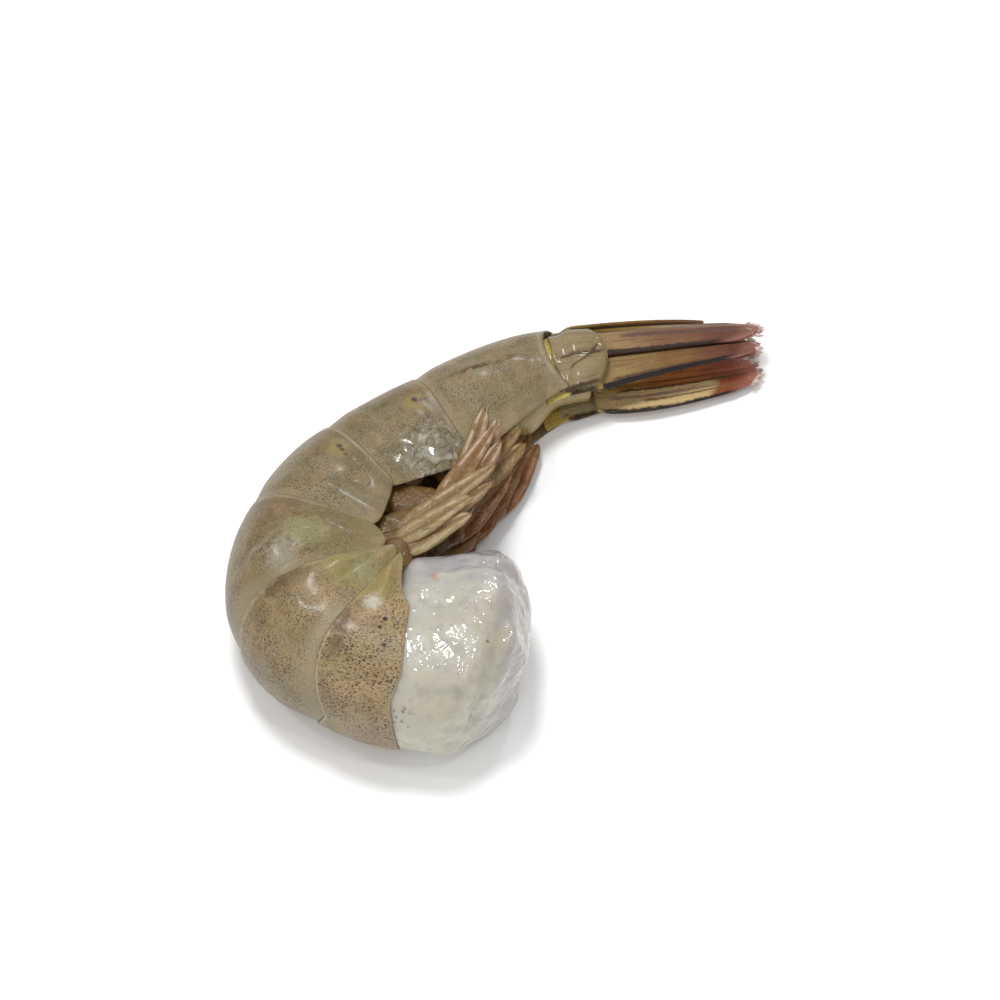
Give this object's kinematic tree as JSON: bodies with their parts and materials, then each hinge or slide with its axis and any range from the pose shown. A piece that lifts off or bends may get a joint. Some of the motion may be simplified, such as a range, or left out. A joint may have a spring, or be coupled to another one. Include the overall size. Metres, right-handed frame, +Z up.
{
  "type": "raw headless shrimp",
  "caption": "Raw headless whiteleg shrimp with its shell and tail on, curled up and lying on its side, with jointed shell plates, a tail fan and swimming legs",
  "frame": {"origin": "under the middle of the shrimp's outline, on the surface that it lies on", "axes": "+Z points up, away from that surface and towards the shrimp's left side. +X points from the curl of the body to the tips of the tail fan. +Y points from the cut end's side of the curl to the tail's side."},
  "size_m": [0.0678, 0.0654, 0.02],
  "materials": {
    "flesh": "wet raw flesh, pearly white with a bluish cast, glossy",
    "shell": "thin wet shell, grey-olive and beige with dense dark brown dots, glossy",
    "fan": "wet tail plates, olive-brown turning dark maroon to the tips, glossy",
    "legs": "wet amber-brown swimming legs with pale ridges, glossy"
  },
  "bodies": {
    "root": {"flesh": "flesh", "somite_1": "shell", "somite_2": "shell", "somite_3": "shell", "somite_4": "shell", "somite_5": "shell", "somite_6": "shell", "telson": "fan", "protopod_left": "fan", "protopod_right": "fan", "endopod_left": "fan", "endopod_right": "fan", "exopod_left": "fan", "exopod_right": "fan", "pleopod_1_left": "legs", "pleopod_1_right": "legs", "pleopod_2_left": "legs", "pleopod_2_right": "legs", "pleopod_3_left": "legs", "pleopod_3_right": "legs", "pleopod_4_left": "legs", "pleopod_4_right": "legs", "pleopod_5_left": "legs", "pleopod_5_right": "legs"}
  },
  "joints": []
}
